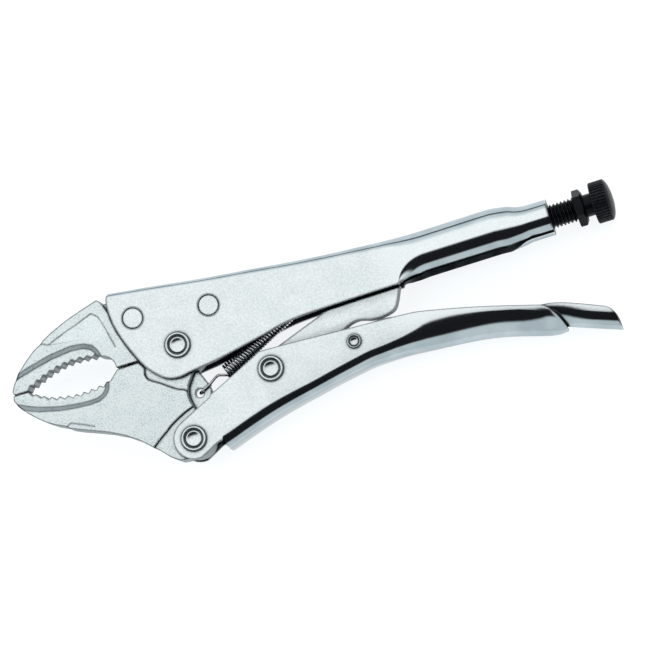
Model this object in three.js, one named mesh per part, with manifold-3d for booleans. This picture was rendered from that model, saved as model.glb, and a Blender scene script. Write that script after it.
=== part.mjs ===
// Locking pliers, 250 mm class, curved jaws, lying on one side.
// X runs along the adjusting screw towards its knob, Y across the handles, Z through the thickness.
// Outlines are drawn with the jaw pivot at (0, 0) and the middle of the thickness at z = 0, in
// millimetres. The last lines set the whole tool down with its box centred on the origin, base at z = 0.
import * as THREE from 'three';
import { mergeVertices } from 'three/addons/utils/BufferGeometryUtils.js';
import Module from 'manifold-3d';

const wasm = await Module();
wasm.setup();

// ---------------------------------------------------------------- sheet and thicknesses
const HALF_WIDTH = 8;                          // outside of both handles, from the middle
const SHEET = 2.2;                             // handle sheet
const SIDE_PLAY = 0.3;                         // between a handle's inside and what turns in it
const CORE_HALF = HALF_WIDTH - SHEET - SIDE_PLAY;
const JAW_HALF = 6.6;                          // forged jaw bodies
const TOOTH_HALF = 5;                          // toothed strip along the mouth
const TONGUE_HALF = 2;                         // spring tongue of the movable jaw
const EDGE_PLAY = 0.35;                        // round the front of the upper handle
const LEVER_SHEET = 1.6;
const LEVER_PLAY = 0.4;                        // between the lower handle's inside and the release lever

// ---------------------------------------------------------------- pivots and fasteners
const JAW_PIVOT = [0, 0];
const HANDLE_PIVOT = [-4.2, -37.6];
const LINK_PIVOT = [33, -20.1];
const LINK_SEAT = [97.5, 5.15];                // where the link's nose bears
const LEVER_PIVOT = [67.7, -19.7];
const JAW_PINS = { front: [-14.3, 15.6], rear: [16.2, 11.5] };
const PIN_R = 4.1;
const PIN_PLAY = 0.06;
const RIVET = { shank: 3.4, head: 5.15, cup: 3.5 };
const SMALL_RIVET = { shank: 1.6, head: 2.85, cup: 1.5 };
const HEAD_HEIGHT = 1;
const RUN_PLAY = 0.08;                         // round a rivet shank, and under its heads

// ---------------------------------------------------------------- screw, nut and spring
const SCREW_Y = LINK_SEAT[1];
const THREAD_R = 4.85;
const PITCH = 1.5;
const THREAD_DEPTH = 0.85;
const SCREW_TIP_X = 103.2;
const THREAD_FROM_X = 130;
const NUT = { from: 165.8, thick: 3.7, flats: 13, chamfer: 1.1 };
const NUT_END_X = NUT.from + NUT.thick;
const NECK = { r: 4.5, length: 3.4 };          // between the nut and the knob
const KNOB = { length: 6, r: 8.35, dome: 2.1, ribs: 40, rib: 0.4 };
const KNOB_FROM_X = NUT_END_X + NECK.length;
const KNOB_END_X = KNOB_FROM_X + KNOB.length;
const NUT_PLAY = 0.12;                         // nut's bore round the thread
const SPRING = { start: [14.35, -15.1], tilt: 25.5, length: 38.6, turns: 30.5, r: 2.6, wire: 0.46 };
const SPRING_HOLE = [2.3, -20.1];
const SPRING_LUG = [57.5, 5.6];
const HOOK_HOLE_R = 1.8;
const HOOK_ANGLE = -Math.PI / 4;               // where the front hook leaves the first coil

const deg = Math.PI / 180;
const vec = ([x, y]) => new THREE.Vector2(x, y);

// ---------------------------------------------------------------- solids
function solid(geometry) {
  geometry.deleteAttribute('normal');
  geometry.deleteAttribute('uv');
  const merged = mergeVertices(geometry, 1e-4);
  const mesh = new wasm.Mesh({
    numProp: 3,
    vertProperties: new Float32Array(merged.attributes.position.array),
    triVerts: new Uint32Array(merged.index.array),
  });
  mesh.merge();
  return new wasm.Manifold(mesh);
}

function geometryOf(manifold) {
  const mesh = manifold.getMesh();
  const geometry = new THREE.BufferGeometry();
  geometry.setAttribute('position', new THREE.BufferAttribute(new Float32Array(mesh.vertProperties), 3));
  geometry.setIndex(new THREE.BufferAttribute(new Uint32Array(mesh.triVerts), 1));
  geometry.computeVertexNormals();
  return geometry;
}

// A plate of the given outline between two heights.
function plate(shape, low, high, curveSegments = 8) {
  const geometry = new THREE.ExtrudeGeometry(shape, { depth: high - low, bevelEnabled: false, curveSegments });
  return solid(geometry.translate(0, 0, low));
}

const slab = (shape, half, curveSegments) => plate(shape, -half, half, curveSegments);

const cutEachSide = (body, cutter) => body.subtract(cutter).subtract(cutter.mirror([0, 0, 1]));

function polygon(points) {
  return new THREE.Shape(points.map(vec));
}

function disc(centre, r) {
  return new THREE.Shape().absarc(centre[0], centre[1], r, 0, 2 * Math.PI, false);
}

const hole = (centre, r, segments = 24) => slab(disc(centre, r), 2 * HALF_WIDTH, segments);

// A closed body between two outlines with the same number of points, each point with its own height.
function between(low, high) {
  const clockwise = THREE.ShapeUtils.isClockWise(low.map(vec));
  const [from, to] = clockwise ? [low.slice().reverse(), high.slice().reverse()] : [low, high];
  const n = from.length;
  const index = [];
  for (const [a, b, c] of THREE.ShapeUtils.triangulateShape(from.map(vec), [])) {
    index.push(a, c, b, a + n, b + n, c + n);
  }
  for (let i = 0; i < n; i++) {
    const j = (i + 1) % n;
    index.push(i, j, j + n, i, j + n, i + n);
  }
  return outward([...from, ...to].flat(), index);
}

const raised = (points, z) => points.map(([x, y]) => [x, y, z]);

function outward(positions, index) {
  let volume = 0;
  const a = new THREE.Vector3();
  const b = new THREE.Vector3();
  const c = new THREE.Vector3();
  for (let t = 0; t < index.length; t += 3) {
    a.fromArray(positions, 3 * index[t]);
    b.fromArray(positions, 3 * index[t + 1]);
    c.fromArray(positions, 3 * index[t + 2]);
    volume += a.dot(b.cross(c));
  }
  const facing = volume > 0 ? index : index.slice().reverse();
  const geometry = new THREE.BufferGeometry();
  geometry.setAttribute('position', new THREE.Float32BufferAttribute(positions, 3));
  geometry.setIndex(facing);
  return solid(geometry);
}

// ---------------------------------------------------------------- bent sheet
// A value that eases from one station to the next along X.
function along(x, ...stations) {
  if (x <= stations[0][0]) return stations[0][1];
  for (let i = 1; i < stations.length; i++) {
    const [x0, v0] = stations[i - 1];
    const [x1, v1] = stations[i];
    if (x <= x1) return v0 + (v1 - v0) * (x - x0) / (x1 - x0);
  }
  return stations.at(-1)[1];
}

// Half of a bent sheet's section: the web's middle, the bend, the flank and the part turned in at the
// edge. Each point is [across, up, outward across, outward up].
function halfSection({ half, web, side, bend, power, flank, curl, turn, curlSteps }) {
  const points = [];
  const bendSteps = 7;
  for (let k = 0; k <= bendSteps; k++) {
    const t = (90 - 90 * k / bendSteps) * deg;
    const across = Math.max(0, Math.cos(t)) ** (2 / power);
    const up = Math.sin(t) ** (2 / power);
    const out = [across ** (power - 1) / bend[0], side * up ** (power - 1) / bend[1]];
    const size = Math.hypot(...out);
    points.push([
      half - bend[0] * (1 - across),
      web - side * bend[1] * (1 - up),
      out[0] / size,
      out[1] / size,
    ]);
  }
  for (let k = 0; k <= curlSteps; k++) {
    const t = turn * deg * k / curlSteps;
    const out = [Math.cos(t) / curl[0], -side * Math.sin(t) / curl[1]];
    const size = Math.hypot(...out);
    points.push([
      half - curl[0] * (1 - Math.cos(t)),
      flank - side * curl[1] * Math.sin(t),
      out[0] / size,
      out[1] / size,
    ]);
  }
  return points;
}

// Sheet bent to a section that changes along X.
function bentSheet(stations, rule) {
  const rows = stations.map((x) => {
    const { sheet } = rule(x);
    const near = halfSection({ ...rule(x), turn: rule(x).turnNear });
    const far = halfSection({ ...rule(x), turn: rule(x).turnFar });
    const loop = [
      ...near.slice().reverse(),
      ...far.map(([z, y, nz, ny]) => [-z, y, -nz, ny]),
    ];
    return {
      outer: loop.map(([z, y]) => [x, y, z]),
      inner: loop.map(([z, y, nz, ny]) => [x, y - sheet * ny, z - sheet * nz]),
    };
  });
  const n = rows[0].outer.length;
  const positions = rows.flatMap((row) => [...row.outer, ...row.inner].flat());
  const outer = (j, i) => 2 * n * j + i;
  const inner = (j, i) => 2 * n * j + n + i;
  const index = [];
  const quad = (a, b, c, d) => index.push(a, b, c, a, c, d);
  const last = rows.length - 1;
  for (let j = 0; j < last; j++) {
    for (let i = 0; i < n - 1; i++) {
      quad(outer(j, i), outer(j, i + 1), outer(j + 1, i + 1), outer(j + 1, i));
      quad(inner(j, i), inner(j + 1, i), inner(j + 1, i + 1), inner(j, i + 1));
    }
    quad(outer(j, 0), outer(j + 1, 0), inner(j + 1, 0), inner(j, 0));
    quad(outer(j, n - 1), inner(j, n - 1), inner(j + 1, n - 1), outer(j + 1, n - 1));
  }
  for (let i = 0; i < n - 1; i++) {
    quad(outer(0, i), inner(0, i), inner(0, i + 1), outer(0, i + 1));
    quad(outer(last, i), outer(last, i + 1), inner(last, i + 1), inner(last, i));
  }
  return outward(positions, index);
}

const spaced = (from, to, count) => Array.from({ length: count + 1 }, (_, i) => from + (to - from) * i / count);

// ---------------------------------------------------------------- upper handle
const UPPER_FRONT_X = -24;
const TUBE_START_X = 88;
const TUBE_END_X = 155.3;
const ROLL_START_X = 91;                       // where the sides begin to roll under
const ROLL_END_X = 104;
const COLLAR_HALF = HALF_WIDTH - 0.7;          // drawn-in end of the tube, round the screw

function upperRule(x) {
  const web = along(x, [-24, 28.5], [-4.9, 26], [15.2, 23.1], [35.4, 20.7], [55.4, 18.3], [75.8, 16.55],
    [96.3, 15.45], [131, 15.6], [139.5, 14.5], [143.5, 13.1], [147, 12.6], [156, 12.5]);
  const centre = along(x, [133, 5.9], [143.5, SCREW_Y]);
  const rolled = THREE.MathUtils.smoothstep(x, TUBE_START_X, ROLL_END_X);
  const half = along(x, [133, HALF_WIDTH], [143.5, COLLAR_HALF]);
  const low = along(x, [137, 8.9], [146, COLLAR_HALF]);
  const corner = along(x, [-24, 2.6], [40, 3.6], [75, 4.7], [TUBE_START_X, 5.5]);
  const shoulder = THREE.MathUtils.clamp((x - ROLL_START_X) / (ROLL_END_X - ROLL_START_X), 0, 1);
  const mix = (flat, tube) => flat + (tube - flat) * rolled;
  return {
    half,
    web,
    sheet: SHEET,
    side: 1,
    bend: [mix(corner, half - 0.1), mix(corner, web - centre)],
    power: 2,
    flank: along(x, [70, -16], [ROLL_START_X, -4]) + (centre + 3.95) * Math.sqrt(1 - (1 - shoulder) ** 2),
    curl: [half, low],
    turnNear: along(x, [ROLL_START_X, 4], [93.6, 29], [96.2, 38], [100, 48], [ROLL_END_X, 58], [133, 58],
      [143.5, 50]),
    turnFar: along(x, [ROLL_START_X, 4], [96, 45], [ROLL_END_X, 81], [133, 81], [143.5, 117]),
    curlSteps: 5,
  };
}

function upperHandle() {
  const stations = [
    ...spaced(UPPER_FRONT_X, 78, 6),
    TUBE_START_X,
    ROLL_START_X,
    91.4,
    92.4,
    94,
    96.4,
    100,
    ROLL_END_X,
    118,
    131,
    134.5,
    ...spaced(137, 146, 3),
    TUBE_END_X,
  ];
  const sheet = bentSheet(stations, upperRule);
  const outline = new THREE.Shape()
    .moveTo(-21.3, 40)
    .lineTo(-21.8, 27.6)
    .splineThru([[-22.9, 25.2], [-23, 19], [-21.9, 12.4], [-18.9, 3.8], [-14.9, -4.4], [-10.2, -9.8]].map(vec))
    .splineThru([[-6.7, -11.9], [-2.6, -12.5], [1.8, -11.8], [6, -11.3]].map(vec))
    .splineThru([[14.7, -10.2], [32.4, -6.8], [41.3, -4.8], [49.9, -3.8], [66.7, -3.4], [91.5, -3.2]].map(vec))
    .lineTo(92, -30)
    .lineTo(170, -30)
    .lineTo(170, 40);
  const lug = polygon([[54, 17], [54.7, 4.6], [56, 3.2], [59, 3.2], [60.3, 4.6], [61, 16.4]]);
  return sheet
    .intersect(slab(outline, 2 * HALF_WIDTH, 5))
    .add(slab(lug, 1).subtract(hole(SPRING_LUG, HOOK_HOLE_R - 0.2, 12)))
    .subtract(hole(JAW_PIVOT, RIVET.shank + RUN_PLAY))
    .subtract(hole(JAW_PINS.front, PIN_R + PIN_PLAY))
    .subtract(hole(JAW_PINS.rear, PIN_R + PIN_PLAY));
}

// ---------------------------------------------------------------- lower handle
const LOWER_WEB_FROM = [[6.6, -41.2], [8.2, -45.8]];

function lowerRule(x) {
  const web = along(x, [7, -45.8], [20.8, -41.3], [29.9, -38.7], [38.9, -36.6], [47.8, -34.8], [56.6, -33],
    [65.3, -31.6], [73.8, -30.6], [82.1, -30.6], [98.4, -31.7], [114.6, -33.2], [122.5, -34.5], [130.2, -36.4],
    [137.8, -38.7], [150, -42]);
  const eased = along(x, [142.5, 0], [145, 0.3], [147, 0.8], [149, 1.5], [151, 1.6]);
  const across = along(x, [8, 4], [55, 3.9], [70, 4.8], [85, 6.6], [105, 7.6]) - eased;
  const deep = along(x, [8, 5.8], [25, 5.8], [50, 5.2], [76, 6], [85, 7], [92, 9], [98, 11.2], [106, 11.5],
    [115, 10.9], [126, 10.3], [134, 10.4], [142, 9.4]);
  return {
    half: HALF_WIDTH - eased,
    web: web + eased,
    sheet: SHEET - eased,
    side: -1,
    bend: [across, deep],
    power: along(x, [105, 2], [115, 1.85], [126, 1.65], [134, 1.6], [142, 1.35]),
    flank: along(x, [8, -20], [30, -8], [97, -12], [150, -27]),
    curl: [3, 3],
    turnNear: 4,
    turnFar: 4,
    curlSteps: 1,
  };
}

function lowerHandle() {
  const topEdge = [[47.2, -12.9], [65.5, -14], [87.8, -15.2], [97.7, -16.4], [119, -21.3], [142, -27.8]];
  const rim = [[144.3, -29.4], [147.2, -33.4], [148.8, -37.2], [149.3, -39.4]];
  const [top, bottom] = LOWER_WEB_FROM;
  const trough = new THREE.Shape()
    .moveTo(...top)
    .lineTo(top[0], -23)
    .lineTo(28.6, -13.1)
    .quadraticCurveTo(30.4, -12.25, 32, -12.2)
    .splineThru(topEdge.map(vec))
    .splineThru(rim.map(vec))
    .quadraticCurveTo(149.2, -41, 147.4, -41.6)
    .lineTo(140, -60)
    .lineTo(bottom[0], -60)
    .lineTo(...bottom);
  const lobe = 8.1;
  const [px, py] = HANDLE_PIVOT;
  const ear = new THREE.Shape()
    .moveTo(28, -13.4)
    .lineTo(px + lobe * Math.cos(115 * deg), py + lobe * Math.sin(115 * deg))
    .absarc(px, py, lobe, 115 * deg, 276 * deg, false)
    .splineThru([[0.8, -43.6], [3.7, -42.1], top].map(vec))
    .lineTo(top[0] + 1, -38.6)
    .lineTo(28, -32);
  const inside = HALF_WIDTH - SHEET;
  const stations = [top[0], ...spaced(20.8, 137.8, 10), 142.5, 145, 147, 149, 151];
  return bentSheet(stations, lowerRule)
    .intersect(slab(trough, 2 * HALF_WIDTH, 5))
    .add(plate(ear, inside, HALF_WIDTH, 10))
    .add(plate(ear, -HALF_WIDTH, -inside, 10))
    .subtract(hole(HANDLE_PIVOT, RIVET.shank + RUN_PLAY))
    .subtract(hole(LINK_PIVOT, RIVET.shank + RUN_PLAY))
    .subtract(hole(LEVER_PIVOT, SMALL_RIVET.shank + RUN_PLAY, 12));
}

// ---------------------------------------------------------------- jaws
// Crests and roots of the teeth along a curved mouth, the roots on the given side of it.
function toothLine(mouth, count, depth) {
  const curve = new THREE.SplineCurve(mouth.map(vec));
  return spaced(0, 1, 2 * count).map((t, i) => {
    const p = curve.getPointAt(t);
    return [p.x, p.y + (i % 2 ? depth : 0)];
  });
}

const TEETH = 10;
const TOOTH_DEPTH = 1.2;
const BOSS_R = 12;                             // movable jaw, round its pivot inside the upper handle
const GAP_Y = -1.15;                           // flat of the fixed jaw behind the throat
const JAW_GAP = 0.8;                           // between the two jaws there

function fixedJaw() {
  const teeth = toothLine([[-31.6, 5.3], [-42.5, 6.4], [-52.4, 4.9], [-63.2, 0.75]], TEETH, TOOTH_DEPTH);
  const outline = polygon([
    [-68.9, 0.7], [-69.3, 2.2], [-67.6, 5.2], [-64.9, 8.2], [-60.9, 11.8], [-56.5, 15.2], [-52.7, 17.1],
    [-51.9, 17.9], [-48.1, 19.9], [-43.3, 21.9], [-38.6, 23.6], [-34, 25], [-26.6, 27.1], [-25.6, 26.3],
    [-24.6, 24], [-23.4, 20.5], [-23.3, 18], [-22.3, 12.5], [-19.3, 3.8], [-17.1, GAP_Y], [-26.2, GAP_Y],
    [-26.5, 1], [-27.4, 2.9], [-29, 4.3], ...teeth,
  ]);
  const tang = new THREE.Shape()
    .moveTo(-26, GAP_Y)
    .lineTo(-26, 22)
    .lineTo(-24.8, 24.4)
    .lineTo(-21.8, 25.4)
    .lineTo(15.2, 20.2)
    .lineTo(22.4, 19.2)
    .quadraticCurveTo(24.2, 18.6, 24.2, 16.8)
    .lineTo(24, 10)
    .quadraticCurveTo(23, 5.6, 18.5, 4.6)
    .lineTo((BOSS_R + EDGE_PLAY) * Math.cos(15 * deg), (BOSS_R + EDGE_PLAY) * Math.sin(15 * deg))
    .absarc(0, 0, BOSS_R + EDGE_PLAY, 15 * deg, 185.3 * deg, false);
  const ledge = [[-68, 7.4], [-64.9, 8.3], [-58.1, 10], [-50.4, 11.7], [-41.7, 12.6], [-36.5, 12], [-33, 10.3],
    [-31.4, 7.6], [-30.6, 4.6], [-30.6, -6], [-75, -6], [-75, 5]];
  const strip = [[-68, 5.7], [-64.7, 6.8], [-58.2, 8.4], [-50.8, 10], [-42.2, 10.9], [-37.2, 10.4], [-34.4, 9],
    [-33, 7], [-32.2, 4.6], [-32.2, -6], [-75, -6], [-75, 3.6]];
  const panel = [[-49.7, 15.6], [-30.2, 22.6], [-28, 20.9], [-24, 7], [-33, 13]];
  let body = slab(outline, JAW_HALF);
  body = cutEachSide(body, ledgeCutter(strip, ledge));
  body = cutEachSide(body, sloped(panel, JAW_HALF - 0.2, JAW_HALF, 12.8, 21));
  return body
    .add(slab(tang, CORE_HALF, 10))
    .subtract(hole(JAW_PINS.front, PIN_R + PIN_PLAY))
    .subtract(hole(JAW_PINS.rear, PIN_R + PIN_PLAY));
}

// A cutter over an outline whose floor slopes from high at one Y to low at another.
function sloped(points, low, high, highY, lowY) {
  const floor = (y) => high + (low - high) * (y - highY) / (lowY - highY);
  return between(points.map(([x, y]) => [x, y, floor(y)]), raised(points, high + 2));
}

// The ledge that drops from a jaw's body to its toothed strip, as a cutter for one side.
function ledgeCutter(strip, ledge) {
  return between(raised(strip, TOOTH_HALF), raised(ledge, JAW_HALF + 0.01))
    .add(between(raised(ledge, JAW_HALF), raised(ledge, JAW_HALF + 1)));
}

function movableJaw() {
  const teeth = toothLine([[-63.2, 0.35], [-55.3, -4], [-45.3, -6.1], [-38, -6], [-31.9, -5.2]], TEETH, -TOOTH_DEPTH);
  const gap = GAP_Y - JAW_GAP;
  const outline = polygon([
    ...teeth, [-30.2, -5.6], [-26.5, -2.2], [-26, gap], [-17.3, gap], [-15.6, -4.8], [-16.3, -7.3], [-15.7, -9.2],
    [-14.8, -10.1], [-11.2, -12.4], [-7.8, -15], [-5, -16.9], [-2.9, -17.6], [-1.7, -18.6], [-1.9, -20.5],
    [-1.7, -22.7], [-1.1, -24.9], [-4.4, -26], [-8.2, -27.7], [-11.7, -29.6], [-14.4, -31.6], [-16.8, -33.1],
    [-20.9, -36.1], [-25.4, -31.7], [-30.6, -28], [-36.1, -25.1], [-41.7, -22.7], [-47.3, -20.5], [-51.2, -18.7],
    [-52, -17.8], [-56.4, -15.6], [-60, -13.2], [-63.3, -10.3], [-66.4, -7], [-68.4, -4.4], [-69.8, -1.5],
    [-69.4, 0.35],
  ]);
  const [px, py] = HANDLE_PIVOT;
  const ear = 7.6;
  const core = new THREE.Shape()
    .moveTo(-25, gap)
    .lineTo(-BOSS_R, gap)
    .absarc(0, 0, BOSS_R, 190 * deg, -78 * deg, true)
    .lineTo(-0.9, -16.4)
    .splineThru([[-1.9, -20.5], [-1.1, -24.9], [-0.2, -27.6]].map(vec))
    .absarc(px, py, ear, 60 * deg, -115 * deg, true)
    .lineTo(-12.1, -44)
    .lineTo(-15.6, -41.5)
    .lineTo(-18.7, -38)
    .lineTo(-25.4, -31.7)
    .lineTo(-30, -20);
  const tongue = polygon([
    [-6, -8], [3, -8], [4.3, -12.1], [6.8, -18.2], [7.1, -20.5], [6.4, -23], [4.7, -24.4], [1.3, -26], [-3, -28],
    [-6, -20],
  ]);
  const ledge = [[-75, -3.4], [-68.4, -5.4], [-64.3, -7.5], [-60.5, -8.9], [-52.7, -10.9], [-46.6, -11.7],
    [-40.5, -12.2], [-36.3, -12], [-33.4, -10.7], [-31.5, -8.6], [-30.7, -6], [-30.7, 6], [-75, 6]];
  const strip = [[-75, -1.2], [-68.4, -3.3], [-64.1, -5.5], [-60, -7], [-52.5, -9.1], [-46.5, -10],
    [-40.4, -10.5], [-37, -10.3], [-34.7, -9.4], [-33, -7.6], [-32.2, -5.4], [-32.2, 6], [-75, 6]];
  const rib = [[-51.3, -16.4], [-41, -19.2], [-24, -27], [-40, -13]];
  let body = slab(outline, JAW_HALF);
  body = cutEachSide(body, ledgeCutter(strip, ledge));
  body = cutEachSide(body, sloped(rib, JAW_HALF - 0.15, JAW_HALF, -13, -19));
  return body
    .add(slab(core, CORE_HALF, 10))
    .add(slab(tongue, TONGUE_HALF))
    .subtract(hole(SPRING_HOLE, HOOK_HOLE_R, 12))
    .subtract(hole(JAW_PIVOT, RIVET.shank + RUN_PLAY))
    .subtract(hole(HANDLE_PIVOT, RIVET.shank + RUN_PLAY));
}

// ---------------------------------------------------------------- toggle link
const LINK_NOSE_R = 2.8;
const LINK_HALF = 2.6;                         // link's bar; it is full width only round its pivot
const LINK_BOSS_R = 6.5;

function toggleLink() {
  const [lx, ly] = LINK_PIVOT;
  const lobe = LINK_BOSS_R;
  const body = new THREE.Shape()
    .moveTo(lx + lobe * Math.cos(109 * deg), ly + lobe * Math.sin(109 * deg))
    .absarc(lx, ly, lobe, 109 * deg, 294 * deg, false)
    .lineTo(63.2, -14)
    .splineThru([[65.5, -12.8], [67.9, -11.8], [70.9, -11.4], [73.4, -11.9], [75.9, -12.7], [80, -13]].map(vec))
    .splineThru([[84.3, -12.3], [86.6, -11], [88.1, -8.7], [89.3, -6.2], [90.6, -3.3]].map(vec))
    .lineTo(88.4, 1)
    .lineTo(87.4, 5.7);
  const [sx, sy] = LINK_SEAT;
  const nose = new THREE.Shape()
    .moveTo(76, 1)
    .lineTo(sx + LINK_NOSE_R * Math.cos(108 * deg), sy + LINK_NOSE_R * Math.sin(108 * deg))
    .absarc(sx, sy, LINK_NOSE_R, 108 * deg, -60 * deg, true)
    .lineTo(92, -1.2)
    .lineTo(88, -2.6)
    .lineTo(76, -4);
  return slab(body, LINK_HALF, 10)
    .add(slab(disc(LINK_PIVOT, LINK_BOSS_R), CORE_HALF - 0.1, 12))
    .add(slab(nose, LINK_HALF, 10))
    .subtract(hole(LINK_PIVOT, RIVET.shank + RUN_PLAY));
}

// ---------------------------------------------------------------- release lever
function leverRule(x) {
  const web = along(x, [58, -22], [70, -24.6], [90, -26.8], [110, -29.3], [125, -32.1], [140, -35.7], [149, -38.3],
    [154, -40.2], [172, -46.9]);
  const top = along(x, [58, -17.4], [64, -15.2], [80, -14.2], [86, -14.9], [92, -17.8], [105, -20.4], [120, -23.9],
    [132, -26.9], [144.8, -27.9], [149.4, -29], [155, -31], [165, -35.2], [172, -38.2]);
  const deep = along(x, [58, 3], [80, 3.2], [110, 6.6], [145, 7.2], [160, 6.8]);
  return {
    half: HALF_WIDTH - SHEET - LEVER_PLAY,
    web,
    sheet: LEVER_SHEET,
    side: -1,
    bend: [along(x, [58, 3], [80, 3.2], [105, 5.2]), deep],
    power: along(x, [105, 1.8], [118, 1.65], [130, 1.5], [142, 1.35], [149, 1.35], [160, 1.8]),
    flank: Math.max(top, web + deep + 0.4),
    curl: [2, 2],
    turnNear: 3,
    turnFar: 3,
    curlSteps: 1,
  };
}

function releaseLever() {
  const stations = [58, 64, 70, 80, 86, 92, 100, 105, 110, 120, 132, 140, 144.8, 149.4, 155, 160, 165, 172];
  const outline = new THREE.Shape()
    .moveTo(59.4, -60)
    .lineTo(59.4, 0)
    .lineTo(163.8, 0)
    .lineTo(163.8, -34.4)
    .splineThru([[166.6, -35.9], [168.6, -38], [169.5, -41.4], [170, -47.5]].map(vec))
    .lineTo(170, -60);
  return bentSheet(stations, leverRule)
    .intersect(slab(outline, 2 * HALF_WIDTH, 4))
    .subtract(hole(LEVER_PIVOT, SMALL_RIVET.shank + RUN_PLAY, 12));
}

// ---------------------------------------------------------------- rivets and pins
// A rivet with a rolled rim round a shallow cup on one side and a flat head on the other.
function rivet([x, y], { shank, head, cup }, segments) {
  const seat = HALF_WIDTH + RUN_PLAY;
  const top = seat + HEAD_HEIGHT;
  const profile = [
    [0, -top], [head - 0.3, -top], [head, -top + 0.3], [head, -seat], [shank, -seat], [shank, seat], [head, seat],
    [head, top - 0.45], [head - 0.4, top - 0.08], [(head + cup) / 2, top], [cup, top - 0.25],
    [cup - 0.3, top - 0.62], [cup * 0.55, top - 0.75], [0, top - 0.78],
  ];
  const geometry = new THREE.LatheGeometry(profile.map(vec), segments);
  return solid(geometry.rotateX(Math.PI / 2).translate(x, y, 0));
}

function pin([x, y]) {
  const crown = 0.15;
  const profile = [
    [0, -HALF_WIDTH], [PIN_R - crown, -HALF_WIDTH], [PIN_R, -HALF_WIDTH + crown], [PIN_R, HALF_WIDTH - crown],
    [PIN_R - crown, HALF_WIDTH], [0, HALF_WIDTH],
  ];
  const geometry = new THREE.LatheGeometry(profile.map(vec), 48);
  return solid(geometry.rotateX(Math.PI / 2).translate(x, y, 0));
}

// ---------------------------------------------------------------- screw and nut
// Turns an upright body about Y into one about the screw's axis, its height read as X.
const onScrewAxis = (geometry) => geometry.rotateZ(-Math.PI / 2).translate(0, SCREW_Y, 0);

// The thread: a rod whose radius follows a ridge that winds along it.
function threadedRod(from, to) {
  const around = 14;
  const steps = Math.round((to - from) / (PITCH / 4));
  const positions = [from, 0, 0, to, 0, 0];
  const index = [];
  for (let i = 0; i <= steps; i++) {
    const x = from + (to - from) * i / steps;
    const fade = Math.min(1, (x - from) / PITCH, 1);
    for (let j = 0; j < around; j++) {
      const phase = (((x - from) / PITCH - j / around) % 1 + 1) % 1;
      const ridge = 1 - Math.min(1, Math.max(0, Math.abs(phase - 0.5) * 2.6 - 0.15));
      const r = THREAD_R - THREAD_DEPTH * (1 - ridge * fade);
      const t = 2 * Math.PI * j / around;
      positions.push(x, r * Math.cos(t), r * Math.sin(t));
    }
  }
  const at = (i, j) => 2 + i * around + (j % around);
  for (let j = 0; j < around; j++) {
    index.push(0, at(0, j + 1), at(0, j));
    index.push(1, at(steps, j), at(steps, j + 1));
    for (let i = 0; i < steps; i++) {
      index.push(at(i, j), at(i, j + 1), at(i + 1, j + 1), at(i, j), at(i + 1, j + 1), at(i + 1, j));
    }
  }
  return outward(positions, index).translate([0, SCREW_Y, 0]);
}

function adjustingScrew() {
  const core = THREAD_R - THREAD_DEPTH;
  const shank = new THREE.LatheGeometry([
    [0, SCREW_TIP_X], [core - 1, SCREW_TIP_X], [core - 0.2, SCREW_TIP_X + 0.9], [core - 0.2, NUT_END_X],
    [NECK.r, NUT_END_X], [NECK.r, KNOB_FROM_X + 1], [0, KNOB_FROM_X + 1],
  ].map(vec), 28);
  const rim = new THREE.Shape();
  for (let i = 0; i < 2 * KNOB.ribs; i++) {
    const t = Math.PI * (i + 0.5) / KNOB.ribs;
    const r = KNOB.r - (i % 2 ? KNOB.rib : 0);
    const step = 0.28 * Math.PI / KNOB.ribs;
    for (const side of [-1, 1]) {
      const p = [r * Math.cos(t + side * step), r * Math.sin(t + side * step)];
      if (i === 0 && side === -1) rim.moveTo(...p);
      else rim.lineTo(...p);
    }
  }
  const grip = new THREE.ExtrudeGeometry(rim, { depth: KNOB.length + KNOB.dome, bevelEnabled: false });
  grip.rotateY(Math.PI / 2).translate(KNOB_FROM_X, SCREW_Y, 0);
  const crown = new THREE.LatheGeometry([
    [0, KNOB_FROM_X], [KNOB.r - 0.5, KNOB_FROM_X], [KNOB.r + 0.1, KNOB_FROM_X + 0.5],
    [KNOB.r + 0.1, KNOB_END_X - 0.1], [KNOB.r - 0.9, KNOB_END_X + 0.75], [KNOB.r - 3, KNOB_END_X + 1.55],
    [KNOB.r - 5.6, KNOB_END_X + 2], [0, KNOB_END_X + KNOB.dome],
  ].map(vec), 48);
  return solid(onScrewAxis(shank))
    .add(threadedRod(THREAD_FROM_X, NUT_END_X - 0.4))
    .add(solid(grip).intersect(solid(onScrewAxis(crown))));
}

function lockNut() {
  const across = NUT.flats / Math.cos(30 * deg) / 2;
  const middle = NUT.from + NUT.thick / 2;
  const hex = new THREE.CylinderGeometry(across, across, NUT.thick, 6);
  hex.translate(0, middle, 0);
  const turned = new THREE.LatheGeometry([
    [0, NUT.from], [across - 0.5, NUT.from], [across + 0.1, NUT.from + 0.35], [across + 0.1, NUT_END_X - NUT.chamfer],
    [NUT.flats / 2 - 0.7, NUT_END_X], [0, NUT_END_X],
  ].map(vec), 36);
  const bore = new THREE.CylinderGeometry(THREAD_R + NUT_PLAY, THREAD_R + NUT_PLAY, 3 * NUT.thick, 40);
  bore.translate(0, middle, 0);
  return solid(onScrewAxis(hex))
    .intersect(solid(onScrewAxis(turned)))
    .subtract(solid(onScrewAxis(bore)));
}

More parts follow.
